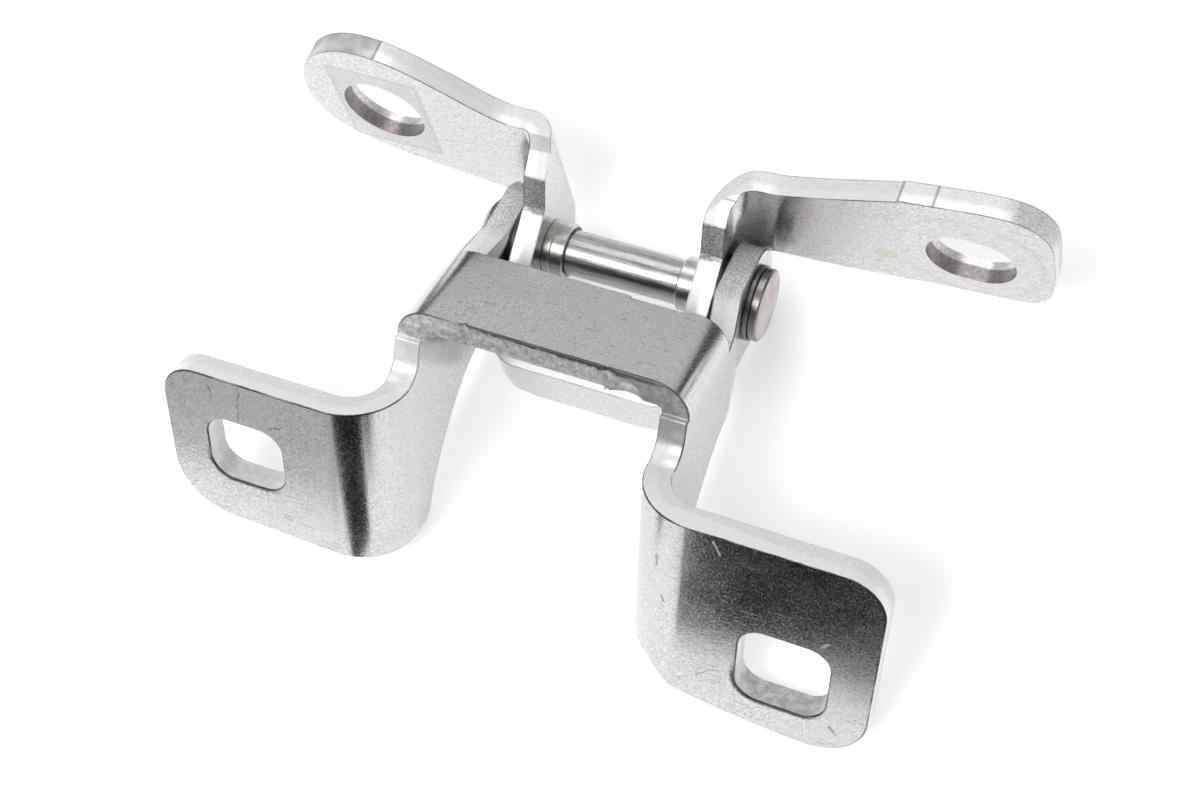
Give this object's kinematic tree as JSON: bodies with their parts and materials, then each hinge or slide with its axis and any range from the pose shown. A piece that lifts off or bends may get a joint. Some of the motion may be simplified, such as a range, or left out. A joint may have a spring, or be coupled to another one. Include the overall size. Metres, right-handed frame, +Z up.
{
  "type": "car door hinge",
  "caption": "Pressed-steel car door hinge: wide front bracket and narrower rear bracket turning on one riveted pin.",
  "frame": {"origin": "middle of the bounding box in plan, on the plane the hinge lies on", "axes": "+X along the hinge pin towards its flat head, +Y from the front bracket towards the rear bracket, +Z up from the resting plane"},
  "size_m": [0.1386, 0.0876, 0.0419],
  "materials": {
    "zinc_sheet": "bright zinc plate, fine grain, scratched",
    "zinc_sheet_rear": "bright zinc plate, fine grain, scratched",
    "pin_steel": "turned steel, dull",
    "bush_bronze": "dull bronze",
    "washer_steel": "plain steel"
  },
  "bodies": {
    "front": {"front_bracket": "zinc_sheet", "left_bush": "bush_bronze", "right_bush": "bush_bronze"},
    "rear": {"rear_bracket": "zinc_sheet_rear", "hinge_pin": "pin_steel", "left_lock_ring": "pin_steel", "left_spacer": "washer_steel", "right_collar": "pin_steel", "head_washer": "washer_steel", "tail_washer": "washer_steel"}
  },
  "joints": [
    {"name": "hinge_turn", "type": "hinge", "parent": "front", "child": "rear", "pos_m": [-0.00456, 0.02568, 0.01103], "axis": [1, 0, 0], "range_deg": [-38, 37]}
  ]
}
